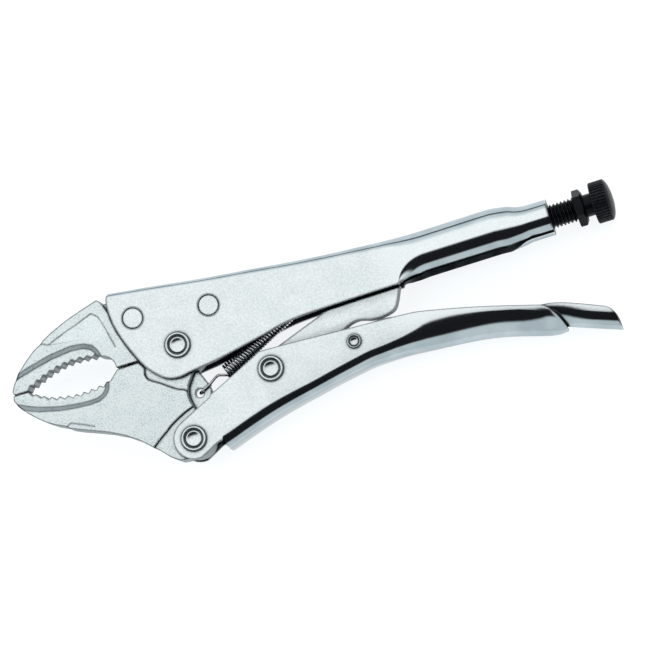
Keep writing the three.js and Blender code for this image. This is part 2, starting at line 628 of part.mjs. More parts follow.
// ---------------------------------------------------------------- return spring
function returnSpring() {
  const { start, tilt, length, turns, r, wire } = SPRING;
  const axis = new THREE.Vector3(Math.cos(tilt * deg), Math.sin(tilt * deg), 0);
  const up = new THREE.Vector3(-axis.y, axis.x, 0);
  const out = new THREE.Vector3(0, 0, 1);
  const begin = new THREE.Vector3(start[0], start[1], 0);
  const perTurn = 9;
  const coil = spaced(0, 1, Math.round(turns * perTurn)).map((t) => {
    const angle = 2 * Math.PI * turns * t + HOOK_ANGLE;
    return begin.clone()
      .addScaledVector(axis, length * t)
      .addScaledVector(up, r * Math.cos(angle))
      .addScaledVector(out, r * Math.sin(angle));
  });
  const clear = TONGUE_HALF + wire + 0.3;
  const [hx, hy] = SPRING_HOLE;
  const frontHook = [
    [hx + 4.6, hy + 2.6, -clear - 0.2], [hx + 1.6, hy + 0.8, -clear], [hx + 0.2, hy, -1.4], [hx + 0.2, hy, 1.2],
    [hx + 1.5, hy + 0.3, clear], [hx + 5, hy + 2, clear + 0.1], [hx + 8.6, hy + 4.2, clear], [hx + 10.9, hy + 3.9, clear],
  ].map((p) => new THREE.Vector3(...p));
  const [ax, ay] = SPRING_LUG;
  const rearHook = [
    [ax - 4.2, ay - 1.4, 2.2], [ax - 1.4, ay - 0.3, 1.9], [ax, ay, 0.8], [ax, ay, -0.8], [ax - 1.4, ay - 0.3, -1.9],
    [ax - 3.4, ay - 1, -2],
  ].map((p) => new THREE.Vector3(...p));
  const path = new THREE.CatmullRomCurve3([...frontHook, ...coil, ...rearHook], false, 'centripetal');
  path.arcLengthDivisions = 3000;
  const section = new THREE.Shape().absarc(0, 0, wire, 0, 2 * Math.PI, false);
  return solid(new THREE.ExtrudeGeometry(section, {
    steps: Math.round(turns * perTurn) + 34, curveSegments: 3, bevelEnabled: false, extrudePath: path,
  }));
}

// ---------------------------------------------------------------- the assembly
const chrome = { color: 0xd9dcdd, metalness: 1, roughness: 0.2 };
const satin = { color: 0xc4c9ca, metalness: 0.9, roughness: 0.5 };
const black = { color: 0x17181a, metalness: 0.6, roughness: 0.45 };

const pieces = [
  ['upper_handle', upperHandle(), chrome],
  ['fixed_jaw', fixedJaw(), satin],
  ['jaw_pin_front', pin(JAW_PINS.front), chrome],
  ['jaw_pin_rear', pin(JAW_PINS.rear), chrome],
  ['jaw_pivot_rivet', rivet(JAW_PIVOT, RIVET, 36), chrome],
  ['movable_jaw', movableJaw(), satin],
  ['handle_pivot_rivet', rivet(HANDLE_PIVOT, RIVET, 36), chrome],
  ['lower_handle', lowerHandle(), chrome],
  ['link_pivot_rivet', rivet(LINK_PIVOT, RIVET, 36), chrome],
  ['toggle_link', toggleLink(), chrome],
  ['release_lever', releaseLever(), chrome],
  ['release_lever_rivet', rivet(LEVER_PIVOT, SMALL_RIVET, 24), chrome],
  ['adjusting_screw', adjustingScrew(), black],
  ['lock_nut', lockNut(), black],
  ['return_spring', returnSpring(), black],
];

const group = new THREE.Group();
group.name = 'locking_pliers';
const box = new THREE.Box3();
for (const [name, body, look] of pieces) {
  const mesh = new THREE.Mesh(geometryOf(body), new THREE.MeshStandardMaterial(look));
  mesh.name = name;
  mesh.geometry.computeBoundingBox();
  box.union(mesh.geometry.boundingBox);
  group.add(mesh);
}
const middle = box.getCenter(new THREE.Vector3());
for (const mesh of group.children) mesh.geometry.translate(-middle.x, -middle.y, -box.min.z);

export default group;
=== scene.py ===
"""Locking pliers, 250 mm class: the looks of every piece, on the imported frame."""
import math

import bpy
from mathutils import Matrix, Vector


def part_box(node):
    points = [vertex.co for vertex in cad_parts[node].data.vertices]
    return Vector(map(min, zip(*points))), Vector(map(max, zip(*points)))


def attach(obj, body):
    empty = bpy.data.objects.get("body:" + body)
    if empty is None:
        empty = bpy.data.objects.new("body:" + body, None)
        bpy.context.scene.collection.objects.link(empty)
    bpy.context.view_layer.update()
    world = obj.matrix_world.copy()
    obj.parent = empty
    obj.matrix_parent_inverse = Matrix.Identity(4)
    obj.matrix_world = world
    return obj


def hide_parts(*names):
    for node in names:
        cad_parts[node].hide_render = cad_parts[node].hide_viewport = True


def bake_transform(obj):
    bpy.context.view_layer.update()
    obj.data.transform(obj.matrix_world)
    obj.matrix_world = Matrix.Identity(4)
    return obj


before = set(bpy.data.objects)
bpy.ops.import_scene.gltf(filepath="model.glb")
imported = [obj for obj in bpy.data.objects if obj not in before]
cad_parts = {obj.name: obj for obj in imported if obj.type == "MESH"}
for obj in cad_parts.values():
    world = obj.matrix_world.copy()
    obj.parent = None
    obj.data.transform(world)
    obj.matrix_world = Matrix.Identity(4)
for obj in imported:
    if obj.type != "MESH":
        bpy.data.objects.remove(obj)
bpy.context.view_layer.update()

# ------------------------------------------------------------------ sizes
# Millimetres from the jaw pivot, at the middle of the thickness: x towards the knob, y towards the upper
# handle, z up.
HALF_WIDTH = 8.0
SHEET = 2.2
CORE_HALF = 5.5
COLLAR_HALF = 7.3
JAW_HALF = 6.6
TOOTH_HALF = 5.0
TONGUE_HALF = 2.0
EDGE_PLAY = 0.35
LEVER_SHEET = 1.6
LEVER_PLAY = 0.4
JAW_PIVOT = (0.0, 0.0)
HANDLE_PIVOT = (-4.2, -37.6)
LINK_PIVOT = (33.0, -20.1)
LINK_SEAT = (97.5, 5.15)
LEVER_PIVOT = (67.7, -19.7)
JAW_PINS = {"front": (-14.3, 15.6), "rear": (16.2, 11.5)}
PIN_R = 4.1
# The open line round each pin.
PIN_LINE = 0.12
RIVET = {"shank": 3.4, "head": 5.15}
SMALL_RIVET = {"shank": 1.6, "head": 2.85}
# From the plates up to the underside of a rivet's head, and from there to its top.
HEAD_GAP = 0.08
HEAD_HEIGHT = 1.0
SCREW_Y = LINK_SEAT[1]
THREAD_R = 4.85
THREAD_DEPTH = 0.85
THREAD_ROOT_R = THREAD_R - THREAD_DEPTH
PITCH = 1.5
SCREW_TIP_X = 103.2
THREAD_FROM_X = 130.0
NUT = {"start": 165.8, "stop": 169.5, "flats": 13.0, "chamfer": 1.1, "play": 0.12}
NECK_R = 4.5
# The knob's ribs are counted, and "rib" is how far they stand out.
KNOB = {"start": 172.9, "stop": 178.9, "r": 8.34, "dome": 2.1, "ribs": 40, "rib": 0.4}
# The coils start and stop on the spring's axis; "half_turns_in" is where round the axis the first one is.
SPRING = {"start": (14.35, -15.1), "tilt": 25.5, "length": 38.6, "turns": 30.5, "r": 2.55, "wire": 0.53,
          "half_turns_in": 0.75}
SPRING_HOLE = (2.3, -20.1)
SPRING_LUG = (57.5, 5.6)
HOOK_HOLE_R = 1.8
LOWER_WEB_FROM = [(6.6, -41.2), (8.2, -45.8)]
BOSS_R = 12.0
# The parting between the closed jaws, below the fixed one.
GAP_Y = -1.15
JAW_GAP = 0.8
TEETH = 10
TOOTH_DEPTH = 1.2
FORGING_LINE = {"half": 0.16, "depth": 0.14}
# Steps round a turned body that is clearly seen, and round the others.
FINE_ROUND = 72
ROUND = 48
# Where along the upper handle the plate's grain fades out.
GRAIN_FADES = (80, 94)
# Turned bodies are closed on their axis by a flat of this radius.
AXIS_R = 0.01
# Cutters reach this far past a face, or past the middle on both sides.
PAST_FACE = 2
PAST_SIDES = 20

pivot_low, pivot_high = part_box("jaw_pivot_rivet")
PIVOT = (Vector(pivot_low) + Vector(pivot_high)) / 2


def at(x, y, z=0.0):
    return PIVOT + Vector((x, y, z)) / 1000


# ------------------------------------------------------------------ shader maths
class Wire:
    """A node's output that can be used in sums."""

    def __init__(self, finish, socket):
        self.finish = finish
        self.socket = socket

    def maths(self, operation, *values):
        return self.finish.node("ShaderNodeMath", {"operation": operation}, dict(enumerate(values)))

    def __add__(self, other):
        return self.maths("ADD", self, other)

    def __sub__(self, other):
        return self.maths("SUBTRACT", self, other)

    def __rsub__(self, other):
        return self.maths("SUBTRACT", other, self)

    def __mul__(self, other):
        return self.maths("MULTIPLY", self, other)

    __radd__ = __add__
    __rmul__ = __mul__

    def __abs__(self):
        return self.maths("ABSOLUTE", self)

    def step(self, low, high, first=0.0, last=1.0):
        """Eases from first at low to last at high."""
        return self.finish.node(
            "ShaderNodeMapRange", {"interpolation_type": "SMOOTHSTEP"},
            {0: self, 1: low, 2: high, 3: first, 4: last})

    def band(self, rise, fall):
        """1 between the rise and the fall, each of which eases from one value to another, and 0 outside."""
        return self.step(*rise) * self.step(*fall, 1.0, 0.0)


class Finish:
    """A material, or the world, made of nodes."""

    def __init__(self, owner):
        owner.use_nodes = True
        self.owner = owner
        self.tree = owner.node_tree
        self.tree.nodes.clear()

    def node(self, kind, settings=None, sockets=None, output=0):
        node = self.tree.nodes.new(kind)
        for key, value in (settings or {}).items():
            setattr(node, key, value)
        for key, value in (sockets or {}).items():
            if isinstance(value, Wire):
                self.tree.links.new(value.socket, node.inputs[key])
            else:
                node.inputs[key].default_value = value
        return Wire(self, node.outputs[output]) if node.outputs else None

    def place(self):
        """Where a point of the surface is, in metres, before the tool moves."""
        return self.node("ShaderNodeTexCoord", output="Object")

    def noise(self, size, detail=2.0, roughness=0.5):
        """Noise of about the given grain size in millimetres, around 0.5."""
        return self.node(
            "ShaderNodeTexNoise", None,
            {"Vector": self.place(), "Scale": 1000 / size, "Detail": detail, "Roughness": roughness})

    def tubular(self):
        """0 on the flat fronts of the handles, 1 where they are rolled towards the far end."""
        along_tool = self.node("ShaderNodeSeparateXYZ", None, {0: self.place()}, output=0)
        return along_tool.step(*(at(x, 0).x for x in GRAIN_FADES))

    def lying_flat(self):
        """1 where the surface lies flat to the tool's sides, 0 where it stands upright."""
        turn = self.node("ShaderNodeTexCoord", output="Normal")
        return abs(self.node("ShaderNodeSeparateXYZ", None, {0: turn}, output=2))

    def crease(self, reach):
        """0 deep in a crease, 1 in the open, looking as far as the reach in millimetres."""
        return self.node("ShaderNodeAmbientOcclusion", {"samples": 6}, {"Distance": reach / 1000}, output=1)

    def edge(self, reach):
        """0 on a face, rising towards its sharp edges, looking as far as the reach in millimetres."""
        eased = self.node("ShaderNodeBevel", {"samples": 6}, {"Radius": reach / 1000})
        true = self.node("ShaderNodeNewGeometry", output="Normal")
        return 1 - self.node(
            "ShaderNodeVectorMath", {"operation": "DOT_PRODUCT"}, {0: eased, 1: true}, output=1)

    def mixed(self, amount, first, last):
        """A colour between two colours."""
        return self.node("ShaderNodeMix", {"data_type": "RGBA"}, {0: amount, 6: first, 7: last}, output=2)

    def crease_shaded(self, reach, unshaded_from, unshaded_at, colour, crease_shade=(0.015, 0.018, 0.02, 1)):
        """A colour that takes painted shade in the creases."""
        return self.mixed(self.crease(reach).step(unshaded_from, unshaded_at), crease_shade, colour)

    def bump(self, height, distance):
        """A bump whose full height is the distance in millimetres."""
        return self.node("ShaderNodeBump", None, {"Height": height, "Distance": distance / 1000})

    def surface(self, **sockets):
        shader = self.node("ShaderNodeBsdfPrincipled", None, {
            key.replace("_", " "): value for key, value in sockets.items()})
        self.node("ShaderNodeOutputMaterial", None, {"Surface": shader})
        return self.owner


def finish(name):
    return Finish(bpy.data.materials.new(name))


def bright_plating(name, edge, slope=0.7):
    """Nickel plate: bright on the flats, with painted shade where the sheet turns away and in the creases.
    Where it lies flatter than the slope, a painted dark rim runs along its sharp edges, as far in as the edge
    in millimetres; where it stands steeper, a painted highlight does."""
    f = finish(name)
    grain = f.noise(0.85, 4.0, 0.65)
    cloud = f.noise(9.0, 2.0)
    level = f.lying_flat()
    tone = grain.step(0.30, 0.70) * 0.8 + cloud.step(0.35, 0.65) * 0.2
    polished = f.tubular()
    specks = f.mixed(polished, (0.59, 0.635, 0.645, 1), (0.72, 0.755, 0.76, 1))
    flat = f.mixed(tone, specks, (0.80, 0.83, 0.83, 1))
    # Painted shade: where the sheet turns away from lying flat it takes darker side colours, darker still
    # where it stands upright.
    side = f.mixed(cloud.step(0.3, 0.7), (0.39, 0.46, 0.49, 1), (0.48, 0.55, 0.58, 1))
    side = f.mixed(level.step(0.0, 0.45), (0.27, 0.33, 0.355, 1), side)
    colour = f.mixed(level.step(0.86, 0.95), side, flat)
    # Painted shade near the walls that stand over it, and deeper painted shade in the creases.
    shade = f.crease(6.0).step(0.42, 0.95) * 0.85 + 0.15
    colour = f.mixed(shade, (0.02, 0.025, 0.03, 1), colour)
    colour = f.crease_shaded(1.1, 0.50, 0.95, colour)
    # Painted dark rim along the sharp edges where the sheet lies flatter than the slope.
    painted_rim = f.edge(edge)
    flatter = level.step(slope, slope + 0.15)
    colour = f.mixed(painted_rim.step(0.003, 0.06) * flatter, colour, (0.07, 0.08, 0.09, 1))
    # Painted highlight along the sharp edges where the sheet stands steep.
    steep = level.band((0.15, 0.35), (slope - 0.15, slope + 0.05))
    colour = f.mixed(painted_rim.step(0.02, 0.2) * steep, colour, (0.85, 0.88, 0.9, 1))
    rough = 0.07 + cloud * 0.03 + grain * 0.03
    ripple = grain * (1 - polished * 0.7)
    return f.surface(Base_Color=colour, Metallic=1.0, Roughness=rough, Normal=f.bump(ripple, 0.004))


def dark_edge(name, low, high):
    """Where the plate is sheared or forged to an edge and the bright finish stops. On rounded edges, rims and
    grooves its dark is painted shade as well.
    """
    f = finish(name)
    grain = f.noise(0.6, 3.0, 0.6)
    colour = f.mixed(grain.step(0.3, 0.7), low, high)
    rough = 0.32 + grain * 0.15
    return f.surface(Base_Color=colour, Metallic=1.0, Roughness=rough, Normal=f.bump(grain, 0.02))


def dull_inside():
    """The inside of bent sheet, where little plate and little light get in."""
    f = finish("dull_inside")
    grain = f.noise(0.5, 3.0, 0.6)
    cloud = f.noise(6.0, 2.0)
    colour = f.mixed(cloud.step(0.3, 0.7), (0.03, 0.035, 0.04, 1), (0.08, 0.09, 0.10, 1))
    rough = 0.38 + grain * 0.15
    return f.surface(Base_Color=colour, Metallic=0.8, Roughness=rough, Normal=f.bump(grain, 0.02))


def blasted_steel():
    """Blasted forging: gritty, a little cloudy, with painted shade where it turns away from lying flat, at
    its edges and in the creases.
    """
    f = finish("blasted_steel")
    grit = f.noise(0.6, 4.0, 0.75)
    cloud = f.noise(7.0, 3.0)
    tone = grit.step(0.34, 0.54) * 0.8 + cloud.step(0.3, 0.6) * 0.2
    # The side and wall colours are painted shade: shaded copies of the grit for surfaces that turn away from
    # lying flat.
    flat = f.mixed(tone, (0.50, 0.59, 0.61, 1), (0.90, 0.955, 0.96, 1))
    side = f.mixed(tone, (0.28, 0.32, 0.34, 1), (0.52, 0.58, 0.60, 1))
    wall = f.mixed(tone, (0.12, 0.145, 0.155, 1), (0.32, 0.36, 0.375, 1))
    level = f.lying_flat()
    face = level.step(0.88, 0.985)
    colour = f.mixed(face, f.mixed(level.step(0.1, 0.45), wall, side), flat)
    # Painted shade in the creases, then a painted dark rim along the sharp edges.
    colour = f.crease_shaded(1.4, 0.50, 0.95, colour)
    colour = f.mixed(f.edge(1.0).step(0.004, 0.05), colour, (0.012, 0.016, 0.018, 1))
    rough = 0.46 + cloud * 0.08 - face * 0.22
    return f.surface(Base_Color=colour, Metallic=1.0, Roughness=rough, Normal=f.bump(grit, 0.02))


def black_oxide():
    """Blackened steel, with painted shade in its creases and bright rims at its edges that are part wear and
    part painted glint.
    """
    f = finish("black_oxide")
    grain = f.noise(0.5, 3.0, 0.6)
    cloud = f.noise(3.0, 2.0)
    colour = f.mixed(cloud.step(0.3, 0.7), (0.002, 0.003, 0.004, 1), (0.007, 0.009, 0.011, 1))
    # Painted shade: near black deep in the creases.
    crease_shade = f.crease(1.2).step(0.3, 0.9)
    colour = f.mixed(crease_shade, (0.0005, 0.0005, 0.0006, 1), colour)
    # Bright rims at the sharp edges, part edge wear and part painted glint, kept out of the creases.
    colour = f.mixed(f.edge(0.35).step(0.03, 0.2) * crease_shade, colour, (0.11, 0.13, 0.14, 1))
    rough = 0.30 + grain * 0.2
    return f.surface(Base_Color=colour, Metallic=0.8, Roughness=rough, Normal=f.bump(grain, 0.03))


def spring_wire():
    """Drawn wire, bright outside, with painted shade between the coils."""
    f = finish("spring_wire")
    grain = f.noise(0.5, 2.0)
    colour = f.mixed(grain.step(0.35, 0.65), (0.55, 0.57, 0.58, 1), (0.80, 0.82, 0.83, 1))
    # Painted shade between the coils.
    colour = f.crease_shaded(1.5, 0.30, 0.75, colour, (0.006, 0.007, 0.008, 1))
    return f.surface(Base_Color=colour, Metallic=1.0, Roughness=0.16 + grain * 0.12)


PLATING = bright_plating("bright_plating", 0.9)
ROLLED = bright_plating("rolled_plating", 1.5)
PRESSED = bright_plating("pressed_plating", 1.5, 0.1)
INSIDE = dull_inside()
SHEARED = dark_edge("sheared_edge", (0.05, 0.06, 0.065, 1), (0.16, 0.185, 0.195, 1))
BLASTED = blasted_steel()
FORGED_EDGE = dark_edge("forged_edge", (0.07, 0.08, 0.085, 1), (0.20, 0.225, 0.235, 1))
OXIDE = black_oxide()
WIRE = spring_wire()

SHEET_FINISH = (PLATING, INSIDE, SHEARED)
ROLLED_FINISH = (ROLLED, INSIDE, SHEARED)
PRESSED_FINISH = (PRESSED, INSIDE, SHEARED)
FORGED_FINISH = (BLASTED, BLASTED, FORGED_EDGE)
BLACK_FINISH = (OXIDE, OXIDE, OXIDE)


# ------------------------------------------------------------------ outlines
def arc(centre, r, start, stop, steps=24):
    """Points round a centre from one angle to another, in degrees."""
    angles = [math.radians(start + (stop - start) * i / steps) for i in range(steps + 1)]
    return [(centre[0] + r * math.cos(a), centre[1] + r * math.sin(a)) for a in angles]


def spline(points, steps=8):
    """A smooth line through the points."""
    line = []
    last = len(points) - 1
    for i in range(last):
        around = [points[max(i - 1, 0)], points[i], points[i + 1], points[min(i + 2, last)]]
        for k in range(steps):
            line.append(curve_point(around, k / steps))
    return line + [tuple(points[-1])]


def curve_point(around, t):
    point = []
    for before, start, stop, after in zip(*around):
        v0 = (stop - before) / 2
        v1 = (after - start) / 2
        point.append(
            (2 * start - 2 * stop + v0 + v1) * t ** 3 + (-3 * start + 3 * stop - 2 * v0 - v1) * t ** 2
            + v0 * t + start)
    return tuple(point)


def along(x, *stations):
    """A value that eases without a kink from one station to the next along the tool."""
    if x <= stations[0][0]:
        return stations[0][1]
    if x >= stations[-1][0]:
        return stations[-1][1]
    slopes = [(b[1] - a[1]) / (b[0] - a[0]) for a, b in zip(stations, stations[1:])]
    lean = [slopes[0]]
    for a, b in zip(slopes, slopes[1:]):
        lean.append(2 * a * b / (a + b) if a * b > 0 else 0.0)
    lean.append(slopes[-1])
    i = next(k for k in range(1, len(stations)) if x <= stations[k][0])
    (x0, v0), (x1, v1) = stations[i - 1], stations[i]
    width = x1 - x0
    t = (x - x0) / width
    return (v0 * (1 + 2 * t) * (1 - t) ** 2 + lean[i - 1] * width * t * (1 - t) ** 2
            + v1 * t * t * (3 - 2 * t) + lean[i] * width * t * t * (t - 1))


def smooth_step(x, low, high):
    t = min(1.0, max(0.0, (x - low) / (high - low)))
    return t * t * (3 - 2 * t)


# ------------------------------------------------------------------ bodies
# Material slots that every body has.
OUTSIDE, WITHIN, EDGE = range(3)


def body_of(name, points, faces, slots=None):
    """A mesh object from points in millimetres; slots gives each face's material slot."""
    mesh = bpy.data.meshes.new(name)
    mesh.from_pydata([at(*p) for p in points], [], faces)
    for material in SHEET_FINISH:
        mesh.materials.append(material)
    for index, polygon in zip(slots or [], mesh.polygons):
        polygon.material_index = index
    mesh.validate()
    mesh.update()
    piece = bpy.data.objects.new(name, mesh)
    bpy.context.scene.collection.objects.link(piece)
    return piece


def signed_area(outline):
    """The area inside an outline, negative where it runs clockwise."""
    return sum(a[0] * b[1] - b[0] * a[1] for a, b in zip(outline, outline[1:] + outline[:1])) / 2


def between(name, low_loop, high_loop, side=OUTSIDE):
    """A closed body between two loops of points that have the same number of points and run the same way.
    The side is the slot of the walls round it."""
    if signed_area(low_loop) < 0:
        low_loop, high_loop = low_loop[::-1], high_loop[::-1]
    n = len(low_loop)
    faces = [tuple(reversed(range(n))), tuple(range(n, 2 * n))]
    faces += [(i, (i + 1) % n, (i + 1) % n + n, i + n) for i in range(n)]
    return body_of(name, low_loop + high_loop, faces, [OUTSIDE, OUTSIDE] + [side] * n)


def lifted(outline, height):
    """An outline at a height, which may be a function of the point."""
    return [(x, y, height(x, y) if callable(height) else height) for x, y in outline]


def plate(name, outline, low, high, side=OUTSIDE):
    """An outline with thickness, from one height to another."""
    return between(name, lifted(outline, low), lifted(outline, high), side)


def through(name, outline):
    """A body with the outline's shape that reaches past both sides of the tool."""
    return plate(name, outline, -PAST_SIDES, PAST_SIDES, EDGE)


def mirrored(piece):
    """The same body on the other side of the middle."""
    mesh = piece.data.copy()
    mesh.transform(Matrix.Translation((0, 0, 2 * PIVOT.z)) @ Matrix.Scale(-1, 4, (0, 0, 1)))
    mesh.flip_normals()
    twin = bpy.data.objects.new(piece.name + "_twin", mesh)
    bpy.context.scene.collection.objects.link(twin)
    return twin


def hole(centre, r, steps=ROUND):
    return through("hole", arc(centre, r, 0, 360 - 360 / steps, steps - 1))


def skin(rows, around):
    """Faces between rows of rings of points, then the two that close the ends."""
    faces = []
    for i in range(rows - 1):
        for k in range(around):
            j = (k + 1) % around
            faces.append((i * around + k, i * around + j, (i + 1) * around + j, (i + 1) * around + k))
    return faces + [tuple(reversed(range(around))), tuple(range((rows - 1) * around, rows * around))]


def turned(name, profile, steps, place, slots=None):
    """A closed body turned about an axis. place puts (distance along, radius, angle) in space, and slots
    gives the slot of each ring of faces."""
    points = []
    for along_axis, radius in profile:
        for k in range(steps):
            points.append(place(along_axis, radius, 2 * math.pi * k / steps))
    ring_slots = [slot for slot in slots or [] for _ in range(steps)]
    return body_of(name, points, skin(len(profile), steps), ring_slots)


def upright(centre):
    """Places a turned body on an axis across the tool, as rivets and pins are."""
    return lambda z, r, a: (centre[0] + r * math.cos(a), centre[1] + r * math.sin(a), z)


def on_screw(x, r, a):
    """Places a turned body on the screw's axis."""
    return (x, SCREW_Y + r * math.cos(a), r * math.sin(a))


def settle(piece):
    """Makes the modifiers part of the mesh."""
    graph = bpy.context.evaluated_depsgraph_get()
    mesh = bpy.data.meshes.new_from_object(piece.evaluated_get(graph))
    piece.modifiers.clear()
    piece.data = mesh
    return piece


def combine(piece, other, how):
    step = piece.modifiers.new(how.lower(), "BOOLEAN")
    step.operation = how
    step.solver = "EXACT"
    step.object = other
    settle(piece)
    bpy.data.objects.remove(other)
    return piece


def cut(piece, *cutters):
    for cutter in cutters:
        combine(piece, cutter, "DIFFERENCE")
    return piece


def add(piece, *others):
    for other in others:
        combine(piece, other, "UNION")
    return piece


def within(piece, limit):
    """Keeps what lies inside the limit."""
    return combine(piece, limit, "INTERSECT")


def cut_each_side(piece, cutter):
    return cut(piece, mirrored(cutter), cutter)


def eased_edges(piece, width=0.3, segments=2):
    """Rounds the sharp edges to a width in millimetres and shades the rest smoothly."""
    weld = piece.modifiers.new("weld", "WELD")
    weld.merge_threshold = 0.00003
    settle(piece)
    for polygon in piece.data.polygons:
        polygon.use_smooth = True
    edge = piece.modifiers.new("eased edges", "BEVEL")
    edge.limit_method = "ANGLE"
    edge.angle_limit = math.radians(32)
    edge.width = width / 1000
    edge.segments = segments
    edge.use_clamp_overlap = True
    edge.harden_normals = True
    # The rounding takes the dark edge finish, which there is painted shade.
    edge.material = EDGE
    return piece


def dress(piece, body, node, finishes):
    """Gives a piece its finishes and sets it on its body in place of its node."""
    paint(piece, finishes)
    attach(piece, body)
    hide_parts(node)


def paint(piece, finishes):
    slots = piece.data.materials
    while len(slots) < len(finishes):
        slots.append(finishes[0])
    for index, material in enumerate(finishes):
        slots[index] = material


# ------------------------------------------------------------------ bent sheet
def half_section(rule, turn, bend_steps, curl_steps):
    """Half of a bent sheet's section from the web's middle to the edge: across, up and the outward way."""
    half, web, side, flank, power = (rule[key] for key in ("half", "web", "side", "flank", "power"))
    bend_across, bend_up = rule["bend"]
    curl_across, curl_up = rule["curl"]
    points = []
    for k in range(bend_steps + 1):
        t = math.radians(90 - 90 * k / bend_steps)
        across = max(0.0, math.cos(t)) ** (2 / power)
        up = math.sin(t) ** (2 / power)
        out = Vector((across ** (power - 1) / bend_across, side * up ** (power - 1) / bend_up)).normalized()
        points.append((half - bend_across * (1 - across), web - side * bend_up * (1 - up), *out))
    for k in range(curl_steps + 1):
        t = math.radians(turn) * k / curl_steps
        out = Vector((math.cos(t) / curl_across, -side * math.sin(t) / curl_up)).normalized()
        points.append((half - curl_across * (1 - math.cos(t)), flank - side * curl_up * math.sin(t), *out))
    return points


def bent_sheet(name, stations, rule_at, bend_steps=14, curl_steps=14):
    """Sheet bent to a section that changes along the tool. The rule for a station gives the half width, the
    web's height, the sheet's thickness, which side of the flanks the web is on, the size of the bend and
    how full it is, the flanks' height where they start to curl, and the size and turns of the curls."""
    rows = []
    for x in stations:
        rule = rule_at(x)
        sheet = rule["sheet"]
        near = half_section(rule, rule["turn_near"], bend_steps, curl_steps)
        far = half_section(rule, rule["turn_far"], bend_steps, curl_steps)
        loop = near[::-1] + [(-z, y, -nz, ny) for z, y, nz, ny in far]
        outer = [(x, y, z) for z, y, nz, ny in loop]
        inner = [(x, y - sheet * ny, z - sheet * nz) for z, y, nz, ny in loop]
        rows.append(outer + inner)
    n = len(rows[0]) // 2
    points = [p for row in rows for p in row]
    faces = []
    slots = []

    def face(slot, *corners):
        faces.append(corners)
        slots.append(slot)

    last = len(rows) - 1
    for j in range(last):
        a, b = 2 * n * j, 2 * n * (j + 1)
        for i in range(n - 1):
            face(OUTSIDE, a + i, a + i + 1, b + i + 1, b + i)
            face(WITHIN, a + n + i, b + n + i, b + n + i + 1, a + n + i + 1)
        face(OUTSIDE, a, b, b + n, a + n)
        face(WITHIN, a + n - 1, a + 2 * n - 1, b + 2 * n - 1, b + n - 1)
    e = 2 * n * last
    for i in range(n - 1):
        face(EDGE, i, i + n, i + n + 1, i + 1)
        face(EDGE, e + i, e + i + 1, e + n + i + 1, e + n + i)
    return body_of(name, points, faces, slots)


def spaced(start, stop, step):
    count = max(1, round((stop - start) / step))
    return [start + (stop - start) * i / count for i in range(count + 1)]


# ------------------------------------------------------------------ upper handle
TUBE_START_X = 88.0
ROLL_START_X = 91.0
ROLL_END_X = 104.0
TUBE_END_X = 155.3


def upper_rule(x):
    web = along(x, (-24, 28.5), (-4.9, 26), (15.2, 23.1), (35.4, 20.7), (55.4, 18.3), (75.8, 16.55),
                (96.3, 15.45), (131, 15.6), (139.5, 14.5), (143.5, 13.1), (147, 12.6), (156, 12.5))
    centre = along(x, (133, 5.9), (143.5, SCREW_Y))
    rolled = smooth_step(x, TUBE_START_X, ROLL_END_X)
    half = along(x, (133, HALF_WIDTH), (143.5, COLLAR_HALF))
    low = along(x, (137, 8.9), (146, COLLAR_HALF))
    corner = along(x, (-24, 2.6), (40, 3.6), (75, 4.7), (TUBE_START_X, 5.5))
    shoulder = min(1.0, max(0.0, (x - ROLL_START_X) / (ROLL_END_X - ROLL_START_X)))
    flank = along(x, (70, -16), (ROLL_START_X, -4)) + (centre + 3.95) * math.sqrt(1 - (1 - shoulder) ** 2)

    def mix(flat, tube):
        return flat + (tube - flat) * rolled

    return {
        "half": half,
        "web": web,
        "sheet": SHEET,
        "side": 1,
        "bend": (mix(corner, half - 0.1), mix(corner, web - centre)),
        "power": 2,
        "flank": flank,
        "curl": (half, low),
        "turn_near": along(x, (ROLL_START_X, 4), (93.6, 29), (96.2, 38), (100, 48), (ROLL_END_X, 58),
                           (133, 58), (143.5, 50)),
        "turn_far": along(x, (ROLL_START_X, 4), (96, 45), (ROLL_END_X, 81), (133, 81), (143.5, 117)),
    }


def upper_handle():
    stations = spaced(-24, 84, 6)
    stations += [86, 87.5, 89, 90.2, 91, 91.12, 91.35, 91.7, 92.2, 92.8, 93.5, 94.4, 95.4, 96.5]
    stations += spaced(97.8, 104, 1.2) + spaced(107, 128, 3) + spaced(130, 149, 1) + [TUBE_END_X]
    outline = [(-21.3, 40), (-21.8, 27.6)]
    outline += spline([(-21.8, 27.6), (-22.9, 25.2), (-23, 19), (-21.9, 12.4), (-18.9, 3.8), (-14.9, -4.4),
                       (-10.2, -9.8), (-6.7, -11.9), (-2.6, -12.5), (1.8, -11.8), (6, -11.3), (14.7, -10.2),
                       (32.4, -6.8), (41.3, -4.8), (49.9, -3.8), (66.7, -3.4), (91.5, -3.2)], 5)[1:]
    outline += [(92, -30), (170, -30), (170, 40)]
    lug_half = 1
    lug = plate("lug", [(54, 17), (54.7, 4.6), (56, 3.2), (59, 3.2), (60.3, 4.6), (61, 16.4)],
                -lug_half, lug_half)
    cut(lug, hole(SPRING_LUG, HOOK_HOLE_R - 0.2, 20))
    piece = bent_sheet("upper_handle_sheet", stations, upper_rule)
    within(piece, through("side outline", outline))
    cut(piece, *(hole(centre, PIN_R + PIN_LINE) for centre in JAW_PINS.values()))
    add(piece, lug)
    dress(eased_edges(piece), "frame", "upper_handle", ROLLED_FINISH)


